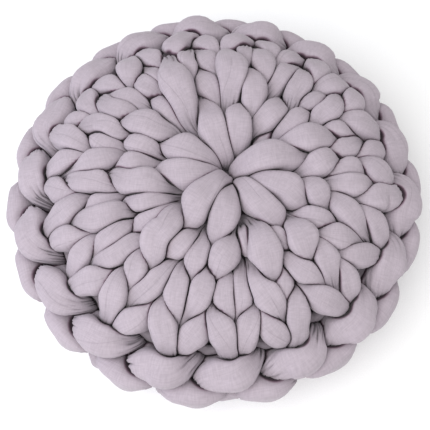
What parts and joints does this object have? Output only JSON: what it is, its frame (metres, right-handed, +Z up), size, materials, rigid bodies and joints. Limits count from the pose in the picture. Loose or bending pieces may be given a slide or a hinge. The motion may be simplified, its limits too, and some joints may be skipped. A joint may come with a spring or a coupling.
{
  "type": "throw pillow",
  "caption": "Round chunky hand-knitted throw pillow of padded mauve-grey tube yarn, V stitches radiating from a gathered centre to a scalloped chain rim.",
  "frame": {"origin": "centre of the pillow's underside, on the surface that it rests on", "axes": "+Z up through the gathered centre of the top face; +X to the right and +Y away from a viewer in front"},
  "size_m": [0.4494, 0.4478, 0.1531],
  "materials": {
    "tube_yarn": "matt cotton jersey, mauve-grey, padded",
    "pad_casing": "matt woven cotton, off-white",
    "fibre_fill": "loose white polyester fibre"
  },
  "bodies": {
    "root": {"fibre_fill": "fibre_fill", "pad_casing_top": "pad_casing", "pad_casing_bottom": "pad_casing", "top_gather_loop": "tube_yarn", "bottom_gather_loop": "tube_yarn", "top_round_1": "tube_yarn", "top_round_2": "tube_yarn", "top_round_3": "tube_yarn", "top_round_4": "tube_yarn", "bottom_round_1": "tube_yarn", "bottom_round_2": "tube_yarn", "bottom_round_3": "tube_yarn", "bottom_round_4": "tube_yarn", "rim_link_01": "tube_yarn", "rim_link_02": "tube_yarn", "rim_link_03": "tube_yarn", "rim_link_04": "tube_yarn", "rim_link_05": "tube_yarn", "rim_link_06": "tube_yarn", "rim_link_07": "tube_yarn", "rim_link_08": "tube_yarn", "rim_link_09": "tube_yarn", "rim_link_10": "tube_yarn", "rim_link_11": "tube_yarn", "rim_link_12": "tube_yarn", "rim_link_13": "tube_yarn", "rim_link_14": "tube_yarn", "rim_link_15": "tube_yarn", "rim_link_16": "tube_yarn", "rim_link_17": "tube_yarn", "rim_link_18": "tube_yarn"}
  },
  "joints": []
}
